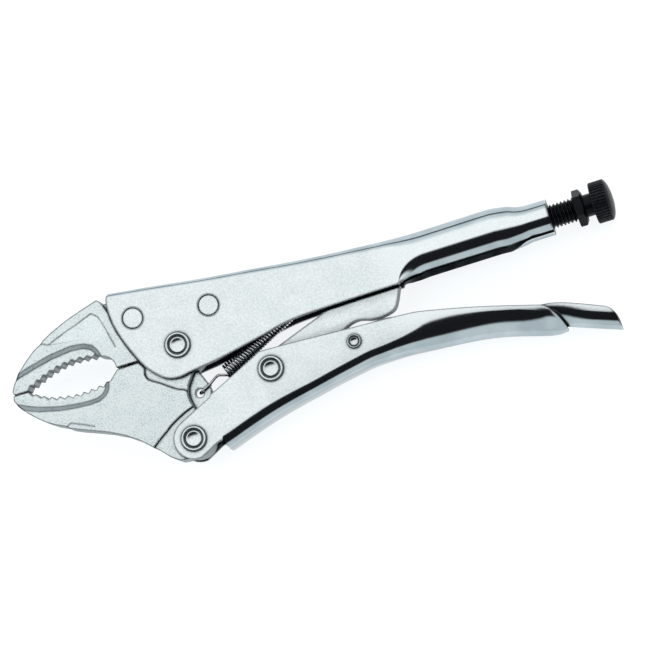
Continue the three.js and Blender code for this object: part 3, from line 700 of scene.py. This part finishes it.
# ------------------------------------------------------------------ lower handle
def lower_rule(x):
    web = along(x, (7, -45.8), (20.8, -41.3), (29.9, -38.7), (38.9, -36.6), (47.8, -34.8), (56.6, -33),
                (65.3, -31.6), (73.8, -30.6), (82.1, -30.6), (98.4, -31.7), (114.6, -33.2), (122.5, -34.5),
                (130.2, -36.4), (137.8, -38.7), (150, -42))
    eased = along(x, (142.5, 0), (145, 0.3), (147, 0.8), (149, 1.5), (151, 1.6))
    return {
        "half": HALF_WIDTH - eased,
        "web": web + eased,
        "sheet": SHEET - eased,
        "side": -1,
        "bend": (along(x, (8, 4), (55, 3.9), (70, 4.8), (85, 6.6), (105, 7.6)) - eased,
                 along(x, (8, 5.8), (25, 5.8), (50, 5.2), (76, 6), (85, 7), (92, 9), (98, 11.2), (106, 11.5),
                       (115, 10.9), (126, 10.3), (134, 10.4), (142, 9.4))),
        "power": along(x, (105, 2), (115, 1.85), (126, 1.65), (134, 1.6), (142, 1.35)),
        "flank": along(x, (8, -20), (30, -8), (97, -12), (150, -27)),
        "curl": (3, 3),
        "turn_near": 4,
        "turn_far": 4,
    }


def lower_handle():
    top, bottom = LOWER_WEB_FROM
    trough = [top, (top[0], -23), (28.6, -13.1), (29.5, -12.5), (30.4, -12.25), (32, -12.2)]
    trough += spline([(32, -12.2), (47.2, -12.9), (65.5, -14), (87.8, -15.2), (97.7, -16.4),
                      (119, -21.3), (142, -27.8)], 6)[1:]
    trough += spline([(142, -27.8), (144.3, -29.4), (147.2, -33.4), (148.8, -37.2), (149.3, -39.4)], 4)[1:]
    trough += [(149.1, -40.6), (147.4, -41.6), (140, -60), (bottom[0], -60), bottom]
    lobe_r = 8.1
    ear = [(28, -13.4)] + arc(HANDLE_PIVOT, lobe_r, 115, 276, 28)
    ear += spline([ear[-1], (0.8, -43.6), (3.7, -42.1), top], 5)[1:] + [(top[0] + 1, -38.6), (28, -32)]
    inside = HALF_WIDTH - SHEET
    stations = spaced(top[0], 140, 3.2) + spaced(141.5, 151, 0.8)
    piece = bent_sheet("lower_handle_sheet", stations, lower_rule, curl_steps=2)
    within(piece, through("side outline", trough))
    add(piece, plate("near ear", ear, inside, HALF_WIDTH, EDGE),
        plate("far ear", ear, -HALF_WIDTH, -inside, EDGE))
    dress(eased_edges(piece), "handle", "lower_handle", SHEET_FINISH)


# ------------------------------------------------------------------ jaws
def tooth_line(mouth, count, depth):
    """Crests and roots of the teeth along a curved mouth, evenly spaced."""
    fine = spline(mouth, 60)
    run = [0.0]
    for a, b in zip(fine, fine[1:]):
        run.append(run[-1] + math.dist(a, b))
    line = []
    for i in range(2 * count + 1):
        want = run[-1] * i / (2 * count)
        k = min(range(len(run)), key=lambda j: abs(run[j] - want))
        line.append((fine[k][0], fine[k][1] + (depth if i % 2 else 0)))
    return line


def ledge_cutter(strip, ledge):
    """Cuts the teeth's strip lower than the jaw's face, with a slope up to the ledge round it."""
    overlap = 0.01
    slope = between("ledge slope", lifted(strip, TOOTH_HALF), lifted(ledge, JAW_HALF + overlap))
    return add(slope, plate("ledge top", ledge, JAW_HALF, JAW_HALF + PAST_FACE))


def sloped_cutter(outline, depth, deep_y, flush_y):
    """Cuts a relief that is flush along one line and deepens towards another."""
    def floor(x, y):
        return JAW_HALF - depth * (y - flush_y) / (deep_y - flush_y)
    return plate("relief", outline, floor, JAW_HALF + PAST_FACE)


def scribed(piece, *lines):
    """Shallow forging lines on both faces of a jaw."""
    for line in lines:
        along_line = [Vector((*p, 0)) for p in line]
        left, right = [], []
        for i, p in enumerate(along_line):
            way = (along_line[min(i + 1, len(line) - 1)] - along_line[max(i - 1, 0)]).normalized()
            way *= FORGING_LINE["half"]
            left.append((p.x - way.y, p.y + way.x))
            right.append((p.x + way.y, p.y - way.x))
        cut_each_side(piece, plate("forging line", left + right[::-1], JAW_HALF - FORGING_LINE["depth"],
                                   JAW_HALF + PAST_FACE, EDGE))


def fixed_jaw():
    mouth = [(-31.6, 5.3), (-42.5, 6.4), (-52.4, 4.9), (-63.2, 0.75)]
    teeth = tooth_line(mouth, TEETH, TOOTH_DEPTH)
    outline = [
        (-68.9, 0.7), (-69.3, 2.2), (-67.6, 5.2), (-64.9, 8.2), (-60.9, 11.8), (-56.5, 15.2), (-52.7, 17.1),
        (-51.9, 17.9), (-48.1, 19.9), (-43.3, 21.9), (-38.6, 23.6), (-34, 25), (-26.6, 27.1), (-25.6, 26.3),
        (-24.6, 24), (-23.4, 20.5), (-23.3, 18), (-22.3, 12.5), (-19.3, 3.8), (-17.1, GAP_Y), (-26.2, GAP_Y),
        (-26.5, 1), (-27.4, 2.9), (-29, 4.3), *teeth,
    ]
    tang = [(-26, GAP_Y), (-26, 22), (-24.8, 24.4), (-21.8, 25.4), (15.2, 20.2), (22.4, 19.2), (24.2, 16.8),
            (24, 10), (23, 5.6), (18.5, 4.6)]
    tang += arc(JAW_PIVOT, BOSS_R + EDGE_PLAY, 15, 185.3, 40)
    ledge = [(-68, 7.4), (-64.9, 8.3), (-58.1, 10), (-50.4, 11.7), (-41.7, 12.6), (-36.5, 12), (-33, 10.3),
             (-31.4, 7.6), (-30.6, 4.6), (-30.6, -6), (-75, -6), (-75, 5)]
    strip = [(-68, 5.7), (-64.7, 6.8), (-58.2, 8.4), (-50.8, 10), (-42.2, 10.9), (-37.2, 10.4), (-34.4, 9),
             (-33, 7), (-32.2, 4.6), (-32.2, -6), (-75, -6), (-75, 3.6)]
    panel = [(-49.7, 15.6), (-30.2, 22.6), (-28, 20.9), (-24, 7), (-33, 13)]
    piece = plate("fixed_jaw_forging", outline, -JAW_HALF, JAW_HALF)
    cut_each_side(piece, ledge_cutter(strip, ledge))
    cut_each_side(piece, sloped_cutter(panel, 0.2, 21, 12.8))
    scribed(piece, [(-52.8, 17), (-51.3, 16.3), (-49.9, 15.5)],
            [(-49.6, 15.6), (-46.6, 17), (-39.2, 19.4), (-31.4, 21.4)],
            [(-28.2, 21), (-27.2, 18.4), (-26.1, 14.6), (-25, 10), (-24.3, 7)])
    add(piece, plate("tang", tang, -CORE_HALF, CORE_HALF))
    dress(eased_edges(piece), "frame", "fixed_jaw", FORGED_FINISH)


def movable_jaw():
    mouth = [(-63.2, 0.35), (-55.3, -4), (-45.3, -6.1), (-38, -6), (-31.9, -5.2)]
    teeth = tooth_line(mouth, TEETH, -TOOTH_DEPTH)
    gap = GAP_Y - JAW_GAP
    outline = [
        *teeth, (-30.2, -5.6), (-26.5, -2.2), (-26, gap), (-17.3, gap), (-15.6, -4.8), (-16.3, -7.3),
        (-15.7, -9.2), (-14.8, -10.1), (-11.2, -12.4), (-7.8, -15), (-5, -16.9), (-2.9, -17.6),
        (-1.7, -18.6), (-1.9, -20.5), (-1.7, -22.7), (-1.1, -24.9), (-4.4, -26), (-8.2, -27.7),
        (-11.7, -29.6), (-14.4, -31.6), (-16.8, -33.1), (-20.9, -36.1), (-25.4, -31.7), (-30.6, -28),
        (-36.1, -25.1), (-41.7, -22.7), (-47.3, -20.5), (-51.2, -18.7), (-52, -17.8), (-56.4, -15.6),
        (-60, -13.2), (-63.3, -10.3), (-66.4, -7), (-68.4, -4.4), (-69.8, -1.5), (-69.4, 0.35),
    ]
    core = [(-25, gap), (-BOSS_R, gap)] + arc(JAW_PIVOT, BOSS_R, 190, 282, 24) + [(-0.9, -16.4)]
    core += spline([(-0.9, -16.4), (-1.9, -20.5), (-1.1, -24.9), (-0.2, -27.6)], 5)[1:]
    ear_r = 7.6
    core += arc(HANDLE_PIVOT, ear_r, 60, -115, 30)
    core += [(-12.1, -44), (-15.6, -41.5), (-18.7, -38), (-25.4, -31.7), (-30, -20)]
    boss = arc(JAW_PIVOT, BOSS_R, 0, 350, 35)
    tongue = [(-6, -8), (3, -8), (4.3, -12.1), (6.8, -18.2), (7.1, -20.5), (6.4, -23), (4.7, -24.4),
              (1.3, -26), (-3, -28), (-6, -20)]
    ledge = [(-75, -3.4), (-68.4, -5.4), (-64.3, -7.5), (-60.5, -8.9), (-52.7, -10.9), (-46.6, -11.7),
             (-40.5, -12.2), (-36.3, -12), (-33.4, -10.7), (-31.5, -8.6), (-30.7, -6), (-30.7, 6), (-75, 6)]
    strip = [(-75, -1.2), (-68.4, -3.3), (-64.1, -5.5), (-60, -7), (-52.5, -9.1), (-46.5, -10),
             (-40.4, -10.5), (-37, -10.3), (-34.7, -9.4), (-33, -7.6), (-32.2, -5.4), (-32.2, 6), (-75, 6)]
    piece = plate("movable_jaw_forging", outline, -JAW_HALF, JAW_HALF)
    cut_each_side(piece, ledge_cutter(strip, ledge))
    scribed(piece, [(-49.9, -16.9), (-51.4, -17.5), (-52.2, -18.6)],
            [(-49.9, -16.9), (-45.1, -19), (-41, -21)])
    add(piece, plate("core", core, -CORE_HALF, CORE_HALF), plate("boss", boss, -CORE_HALF, CORE_HALF),
        plate("tongue", tongue, -TONGUE_HALF, TONGUE_HALF))
    cut(piece, hole(SPRING_HOLE, HOOK_HOLE_R, 24))
    dress(eased_edges(piece), "jaw", "movable_jaw", FORGED_FINISH)


# ------------------------------------------------------------------ toggle link and release lever
LINK_HALF = 2.6
LINK_BOSS_R = 6.5
LINK_PLAY = 0.1
LINK_NOSE_R = 2.8


def toggle_link():
    body = arc(LINK_PIVOT, LINK_BOSS_R, 109, 294, 30) + [(63.2, -14)]
    body += spline([(63.2, -14), (65.5, -12.8), (67.9, -11.8), (70.9, -11.4), (73.4, -11.9), (75.9, -12.7),
                    (80, -13), (84.3, -12.3), (86.6, -11), (88.1, -8.7), (89.3, -6.2), (90.6, -3.3)], 5)[1:]
    body += [(88.4, 1), (87.4, 5.7)]
    nose = [(76, 1)] + arc(LINK_SEAT, LINK_NOSE_R, 108, -60, 20) + [(92, -1.2), (88, -2.6), (76, -4)]
    boss = arc(LINK_PIVOT, LINK_BOSS_R, 0, 355, 71)
    piece = plate("toggle_link_bar", body, -LINK_HALF, LINK_HALF, EDGE)
    add(piece, plate("boss", boss, LINK_PLAY - CORE_HALF, CORE_HALF - LINK_PLAY, EDGE),
        plate("nose", nose, -LINK_HALF, LINK_HALF, EDGE))
    dress(eased_edges(piece, 0.45, segments=3), "link", "toggle_link", PRESSED_FINISH)


def lever_rule(x):
    web = along(x, (58, -22), (70, -24.6), (90, -26.8), (110, -29.3), (125, -32.1), (140, -35.7),
                (149, -38.3), (154, -40.2), (172, -46.9))
    top = along(x, (58, -17.4), (64, -15.2), (80, -14.2), (86, -14.9), (92, -17.8), (105, -20.4),
                (120, -23.9), (132, -26.9), (144.8, -27.9), (149.4, -29), (155, -31), (165, -35.2),
                (172, -38.2))
    deep = along(x, (58, 3), (80, 3.2), (110, 6.6), (145, 7.2), (160, 6.8))
    return {
        "half": HALF_WIDTH - SHEET - LEVER_PLAY,
        "web": web,
        "sheet": LEVER_SHEET,
        "side": -1,
        "bend": (along(x, (58, 3), (80, 3.2), (105, 5.2)), deep),
        "power": along(x, (105, 1.8), (118, 1.65), (130, 1.5), (142, 1.35), (149, 1.35), (160, 1.8)),
        "flank": max(top, web + deep + 0.4),
        "curl": (2, 2),
        "turn_near": 3,
        "turn_far": 3,
    }


def release_lever():
    outline = [(59.4, -60), (59.4, 0), (163.8, 0), (163.8, -34.4)]
    outline += spline([(163.8, -34.4), (166.6, -35.9), (168.6, -38), (169.5, -41.4), (170, -47.5)], 5)[1:]
    outline += [(170, -60)]
    piece = bent_sheet("release_lever_pressing", spaced(58, 172, 2.4), lever_rule, 10, 2)
    within(piece, through("side outline", outline))
    dress(eased_edges(piece, 0.25), "lever", "release_lever", SHEET_FINISH)


# ------------------------------------------------------------------ rivets and pins
def rivet(name, centre, size, body):
    """A headed rivet: a bright ring with rounded edges round a groove and a shallow dished disc."""
    head = size["head"]
    seat = HALF_WIDTH + HEAD_GAP
    top = seat + HEAD_HEIGHT
    back = [(-top, AXIS_R), (-top, head - 0.4), (-top + 0.12, head - 0.12), (-top + 0.4, head), (-seat, head),
            (-seat, size["shank"]), (seat, size["shank"]), (seat, head)]
    angles = [math.radians(degrees) for degrees in (0, 20, 40, 60, 75)]
    rounding = [(top - 0.5 * (1 - math.sin(a)), head * (0.91 + 0.09 * math.cos(a))) for a in angles]
    ring = [(top, head * 0.91), (top - 0.01, head * 0.85), (top, head * 0.79)]
    groove = [(top - 0.08, head * 0.755), (top - 0.3, head * 0.735), (top - 0.68, head * 0.72),
              (top - 0.74, head * 0.68), (top - 0.7, head * 0.64), (top - 0.5, head * 0.60)]
    dish = [(top - 0.46, head * 0.57), (top - 0.5, head * 0.5), (top - 0.58, head * 0.35),
            (top - 0.62, head * 0.18), (top - 0.63, AXIS_R)]
    profile = back + rounding + ring + groove + dish
    # The rounded rim and the groove take the dark edge finish: painted shade for the dark rings round the
    # head.
    slots = [OUTSIDE] * 4 + [EDGE] * (len(rounding) + 3) + [OUTSIDE] * 3
    slots += [EDGE] * len(groove) + [OUTSIDE] * (len(dish) - 1)
    piece = turned(name, profile, FINE_ROUND, upright(centre), slots[:len(profile) - 1])
    dress(shaded(piece, 50), body, name.removesuffix("_head"), SHEET_FINISH)


def pin(name, centre):
    """A plain pin, flush with the plates and chamfered at both ends."""
    chamfer = 0.2
    profile = [(-HALF_WIDTH, AXIS_R), (-HALF_WIDTH, PIN_R - chamfer), (chamfer - HALF_WIDTH, PIN_R),
               (HALF_WIDTH - chamfer, PIN_R), (HALF_WIDTH, PIN_R - chamfer), (HALF_WIDTH, AXIS_R)]
    piece = turned(name, profile, FINE_ROUND, upright(centre))
    dress(eased_edges(piece, 0.06), "frame", name.removesuffix("_end"), SHEET_FINISH)


# ------------------------------------------------------------------ screw and nut
def screw_thread(around, steps_per_turn=12):
    """The thread, which fades in over its first turn and stops inside the nut."""
    length = NUT["stop"] - THREAD_FROM_X
    steps = round(length / PITCH * steps_per_turn)
    points = []
    for i in range(steps + 1):
        x = THREAD_FROM_X + length * i / steps
        fade = min(1.0, (x - THREAD_FROM_X) / PITCH)
        for j in range(around):
            phase = ((x - THREAD_FROM_X) / PITCH - j / around) % 1
            ridge = 1 - min(1.0, max(0.0, abs(phase - 0.5) * 2.6 - 0.15))
            points.append(on_screw(x, THREAD_R - THREAD_DEPTH * (1 - ridge * fade), 2 * math.pi * j / around))
    return body_of("screw thread", points, skin(steps + 1, around))


def adjusting_screw():
    """A rod that is plain at its tip, threaded, then plain at its neck, with the knob at the end."""
    core_r = THREAD_ROOT_R - 0.2
    core_stop = THREAD_FROM_X + 1
    plain = [(SCREW_TIP_X, AXIS_R), (SCREW_TIP_X, THREAD_ROOT_R - 1), (SCREW_TIP_X + 0.9, core_r),
             (core_stop, core_r), (core_stop, AXIS_R)]
    tip = turned("screw tip", plain, ROUND, on_screw)
    start, stop = NUT["stop"] - 0.5, KNOB["start"] + 0.6
    neck = turned("screw neck", [(start, AXIS_R), (start, NECK_R), (stop, NECK_R), (stop, AXIS_R)], ROUND,
                  on_screw)
    piece = joined(knob(), tip, screw_thread(ROUND), neck)
    dress(shaded(piece), "screw", "adjusting_screw", BLACK_FINISH)


def knob():
    """A ribbed knob: the ribs run along it, and the crown takes them off at its end."""
    r, start, stop = KNOB["r"], KNOB["start"], KNOB["stop"]
    profile = [(start, AXIS_R), (start, r - 3), (start, r - 0.55), (start + 0.15, r - 0.25),
               (start + 0.5, r), (start + 1, r), (stop - 0.8, r), (stop - 0.1, r), (stop + 0.35, r - 0.4),
               (stop + 0.75, r - 0.9), (stop + 1.2, r - 1.9), (stop + 1.55, r - 3), (stop + 2, r - 5.6),
               (stop + KNOB["dome"], AXIS_R)]
    rib_steps = 8
    around = KNOB["ribs"] * rib_steps
    points = []
    for x, radius in profile:
        for k in range(around):
            wave = (k % rib_steps) / rib_steps
            deep = 1 if 0.5 <= wave < 0.75 else 0 if wave < 0.375 or wave > 0.8 else 0.7
            points.append(on_screw(x, min(radius, r - KNOB["rib"] * deep), 2 * math.pi * k / around))
    return body_of("adjusting_screw_rod", points, skin(len(profile), around))


def joined(piece, *others):
    """Puts bodies that touch into one piece, each still closed."""
    points = []
    faces = []
    for part in (piece, *others):
        start = len(points)
        points += [v.co.copy() for v in part.data.vertices]
        faces += [tuple(start + i for i in polygon.vertices) for polygon in part.data.polygons]
    mesh = bpy.data.meshes.new(piece.name)
    mesh.from_pydata(points, [], faces)
    piece.data = mesh
    for other in others:
        bpy.data.objects.remove(other)
    return piece


def shaded(piece, angle=38.0):
    """Smooth shading broken at the sharp edges."""
    mesh = piece.data
    mesh.shade_smooth()
    mesh.set_sharp_from_angle(angle=math.radians(angle))
    return piece


def lock_nut():
    """A thin six-sided nut, chamfered at both faces."""
    across = NUT["flats"] / math.cos(math.radians(30)) / 2
    start, stop = NUT["start"], NUT["stop"]
    bore_r = THREAD_R + NUT["play"]
    crown = [(start, AXIS_R), (start, across - 0.5), (start + 0.35, across + 0.1),
             (stop - NUT["chamfer"], across + 0.1), (stop, NUT["flats"] / 2 - 0.7), (stop, AXIS_R)]
    piece = turned("lock_nut_hexagon", [(start, across), (stop, across)], 6, on_screw)
    within(piece, turned("crown", crown, FINE_ROUND, on_screw))
    cut(piece, turned("bore", [(start - 1, bore_r), (stop + 1, bore_r)], ROUND, on_screw))
    dress(eased_edges(piece, 0.15), "nut", "lock_nut", BLACK_FINISH)


# ------------------------------------------------------------------ return spring
def return_spring():
    """An extension spring: a hook through the jaw's tongue, the coils, and a hook on the handle's lug."""
    tilt = math.radians(SPRING["tilt"])
    axis = Vector((math.cos(tilt), math.sin(tilt), 0))
    up = Vector((-axis.y, axis.x, 0))
    out = Vector((0, 0, 1))
    begin = Vector((*SPRING["start"], 0))
    turns = SPRING["turns"]
    steps_per_turn = 20
    count = round(turns * steps_per_turn)
    coil = []
    for i in range(count + 1):
        t = i / count
        angle = math.pi * (2 * turns * t + SPRING["half_turns_in"])
        ring = up * (SPRING["r"] * math.cos(angle)) + out * (SPRING["r"] * math.sin(angle))
        coil.append(begin + axis * (SPRING["length"] * t) + ring)
    clear = TONGUE_HALF + SPRING["wire"] + 0.3
    hx, hy = SPRING_HOLE
    front = spline([(hx + 4.6, hy + 2.6, -clear - 0.2), (hx + 1.6, hy + 0.8, -clear), (hx + 0.2, hy, -1.4),
                    (hx + 0.2, hy, 1.2), (hx + 1.5, hy + 0.3, clear), (hx + 5, hy + 2, clear + 0.1),
                    (hx + 8.6, hy + 4.2, clear), (hx + 10.9, hy + 3.9, clear), tuple(coil[0])], 6)[:-1]
    lx, ly = SPRING_LUG
    rear = spline([tuple(coil[-1]), (lx - 4.2, ly - 1.4, 2.2), (lx - 1.4, ly - 0.3, 1.9), (lx, ly, 0.8),
                   (lx, ly, -0.8), (lx - 1.4, ly - 0.3, -1.9), (lx - 3.4, ly - 1, -2)], 6)[1:]
    path = [Vector(p) for p in front] + coil + [Vector(p) for p in rear]
    piece = swept("return_spring_wire", path, SPRING["wire"], 8)
    # The wire's faces that look away from the coil's axis stay bright. The rest take the dark inside finish,
    # painted shade as if they were within the coil.
    looks_out = 0.5
    for face in piece.data.polygons:
        arm = face.center - at(*begin)
        if face.normal.dot((arm - axis * arm.dot(axis)).normalized()) < looks_out:
            face.material_index = WITHIN
    paint(piece, (WIRE, INSIDE, WIRE))
    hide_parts("return_spring")
    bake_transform(piece)


def swept(name, path, r, around):
    """A round wire along a path."""
    side = Vector((0, 0, 1))
    points = []
    for i, p in enumerate(path):
        ahead = (path[min(i + 1, len(path) - 1)] - path[max(i - 1, 0)]).normalized()
        side = (side - ahead * side.dot(ahead)).normalized()
        other = ahead.cross(side)
        for k in range(around):
            a = 2 * math.pi * k / around
            points.append(tuple(p + side * (r * math.cos(a)) + other * (r * math.sin(a))))
    piece = body_of(name, points, skin(len(path), around))
    piece.data.shade_smooth()
    return piece


upper_handle()
fixed_jaw()
movable_jaw()
lower_handle()
toggle_link()
release_lever()
pin("jaw_pin_front_end", JAW_PINS["front"])
pin("jaw_pin_rear_end", JAW_PINS["rear"])
rivet("jaw_pivot_rivet_head", JAW_PIVOT, RIVET, "frame")
rivet("handle_pivot_rivet_head", HANDLE_PIVOT, RIVET, "handle")
rivet("link_pivot_rivet_head", LINK_PIVOT, RIVET, "handle")
rivet("release_lever_rivet_head", LEVER_PIVOT, SMALL_RIVET, "handle")
adjusting_screw()
lock_nut()
return_spring()


# ------------------------------------------------------------------ studio
def studio():
    """A white floor under a white sky, with a dark panel overhead that bright metal shows as a band."""
    world = Finish(bpy.data.worlds.new("studio"))
    bpy.context.scene.world = world.owner
    way = world.node("ShaderNodeTexCoord", output="Generated")
    along_tool, across, height = (
        world.node("ShaderNodeSeparateXYZ", None, {0: way}, output=k) for k in range(3))
    panel = across.band((-0.78, -0.68), (0.00, 0.09)) * along_tool.band((-0.85, -0.65), (0.2, 0.4))
    horizon = height.step(0.10, 0.22, 1.0, 0.0) * across.step(0.1, 0.4)
    colour = world.mixed(panel, (0.93, 0.965, 0.975, 1), (0.010, 0.011, 0.013, 1))
    colour = world.mixed(horizon, colour, (0.12, 0.14, 0.15, 1))
    sky = world.node("ShaderNodeBackground", None, {"Color": colour, "Strength": 1.0})
    world.node("ShaderNodeOutputWorld", None, {"Surface": sky})

    f = finish("studio_floor")
    direct, glossy, clear = (f.node("ShaderNodeLightPath", output=f"Is {kind} Ray")
                             for kind in ("Camera", "Glossy", "Transmission"))
    seen = direct + glossy + clear
    paper = f.node("ShaderNodeBsdfDiffuse", None, {"Color": (0.34, 0.345, 0.35, 1)})
    glow = f.node("ShaderNodeEmission", None, {"Color": (0.97, 0.99, 1, 1), "Strength": seen * 0.86})
    both = f.node("ShaderNodeAddShader", None, {0: paper, 1: glow})
    f.node("ShaderNodeOutputMaterial", None, {"Surface": both})
    reach = 1200
    under_heads = -(HALF_WIDTH + HEAD_GAP + HEAD_HEIGHT + 0.01)
    corners = [(-reach, -reach), (reach, -reach), (reach, reach), (-reach, reach)]
    floor = body_of("studio_floor_sheet", lifted(corners, under_heads), [(0, 1, 2, 3)])
    floor.data.materials[0] = f.owner

    lamp = bpy.data.lights.new("soft_box", "AREA")
    lamp.shape = "RECTANGLE"
    lamp.size = 2.2
    lamp.size_y = 2
    lamp.energy = 2.5
    holder = bpy.data.objects.new("soft_box", lamp)
    holder.location = at(-250, 900, 1100)
    holder.rotation_euler = (at(40, 0) - holder.location).to_track_quat("-Z", "Y").to_euler()
    bpy.context.scene.collection.objects.link(holder)


def camera():
    """A long lens high above the tool, a little way out past the knob and the lower handle."""
    lens = bpy.data.cameras.new("camera")
    lens.lens = 299.7
    lens.sensor_width = 36
    lens.clip_end = 20
    eye = bpy.data.objects.new("camera", lens)
    right = Vector((0.94821, -0.28087, -0.14834))
    up = Vector((0.29719, 0.94934, 0.10214))
    back = right.cross(up)
    turn = Matrix((right, up, back)).transposed().to_4x4()
    stand = at(306.68, -323.60, 2163.25)
    eye.matrix_world = Matrix.Translation(stand) @ turn
    bpy.context.scene.collection.objects.link(eye)
    bpy.context.scene.camera = eye


studio()
camera()
bpy.context.scene.view_settings.view_transform = "Standard"
